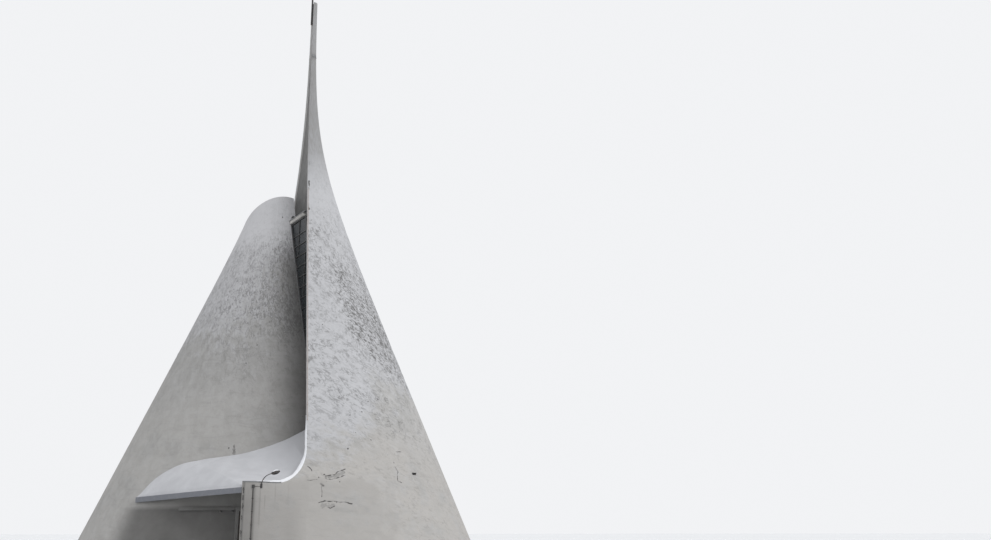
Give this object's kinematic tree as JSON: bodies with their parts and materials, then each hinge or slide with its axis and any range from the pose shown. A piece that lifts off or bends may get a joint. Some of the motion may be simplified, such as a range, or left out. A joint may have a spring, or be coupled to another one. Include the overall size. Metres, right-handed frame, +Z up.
{
  "type": "modern church building",
  "caption": "Concrete church of conical half shells slid past each other, with a slender spire, glazed slots between them and a sheltered porch with opening doors.",
  "frame": {"origin": "on the ground midway between the upright axes of the two conical shells", "axes": "+Z up; +Y along the cut plane of the tall shell, from the entrance side to the far side; +X towards the tall shell"},
  "size_m": [24.238, 25.7216, 39.4],
  "materials": {
    "sprayed_concrete": "sprayed concrete, mottled grey with pale frosted patches and dark stains",
    "cast_concrete": "cast concrete, warm grey, streaked",
    "roof_screed": "pale screed with a frosted top",
    "floor_screed": "smooth grey floor",
    "dark_glass": "dark blue-grey glass",
    "glazing_metal": "dark anodised bars",
    "dark_metal": "dark paint, lightly rusted",
    "door_metal": "dark brown paint"
  },
  "bodies": {
    "building": {"cross": "dark_metal", "floodlight": "dark_metal", "front_glass": "dark_glass", "front_glazing_frame": "glazing_metal", "front_head_cap": "cast_concrete", "front_porch_band": "cast_concrete", "front_porch_roof": "roof_screed", "front_surround": "cast_concrete", "front_wing_wall": "cast_concrete", "ground_floor": "floor_screed", "low_shell_1": "sprayed_concrete", "low_shell_2": "sprayed_concrete", "low_shell_3": "sprayed_concrete", "low_shell_4": "sprayed_concrete", "low_shell_above_door": "sprayed_concrete", "low_shell_left_of_door": "sprayed_concrete", "low_shell_over_door": "sprayed_concrete", "low_shell_right_of_door": "sprayed_concrete", "main_roof": "roof_screed", "porch_lamp_1": "dark_metal", "porch_lamp_2": "dark_metal", "rear_door_left": "door_metal", "rear_door_right": "door_metal", "rear_glass": "dark_glass", "rear_glazing_frame": "glazing_metal", "rear_head_cap": "cast_concrete", "rear_porch_band": "cast_concrete", "rear_porch_roof": "roof_screed", "rear_surround": "cast_concrete", "rear_wing_wall": "cast_concrete", "spire_lower": "sprayed_concrete", "spire_upper": "sprayed_concrete", "tall_shell_1": "sprayed_concrete", "tall_shell_2": "sprayed_concrete", "tall_shell_3": "sprayed_concrete", "tall_shell_4": "sprayed_concrete", "tall_shell_above_door": "sprayed_concrete", "tall_shell_left_of_door": "sprayed_concrete", "tall_shell_over_door": "sprayed_concrete", "tall_shell_right_of_door": "sprayed_concrete", "wall_conduit": "dark_metal", "wall_lamp": "dark_metal"},
    "entrance_door_left": {"front_door_left": "door_metal"},
    "entrance_door_right": {"front_door_right": "door_metal"}
  },
  "joints": [
    {"name": "entrance_door_left_hinge", "type": "hinge", "parent": "building", "child": "entrance_door_left", "pos_m": [-2.66524, -9.93065, 0.12], "axis": [0, 0, -1], "range_deg": [0, 90]},
    {"name": "entrance_door_right_hinge", "type": "hinge", "parent": "building", "child": "entrance_door_right", "pos_m": [-0.91488, -10.11462, 0.12], "axis": [0, 0, 1], "range_deg": [0, 90]}
  ]
}
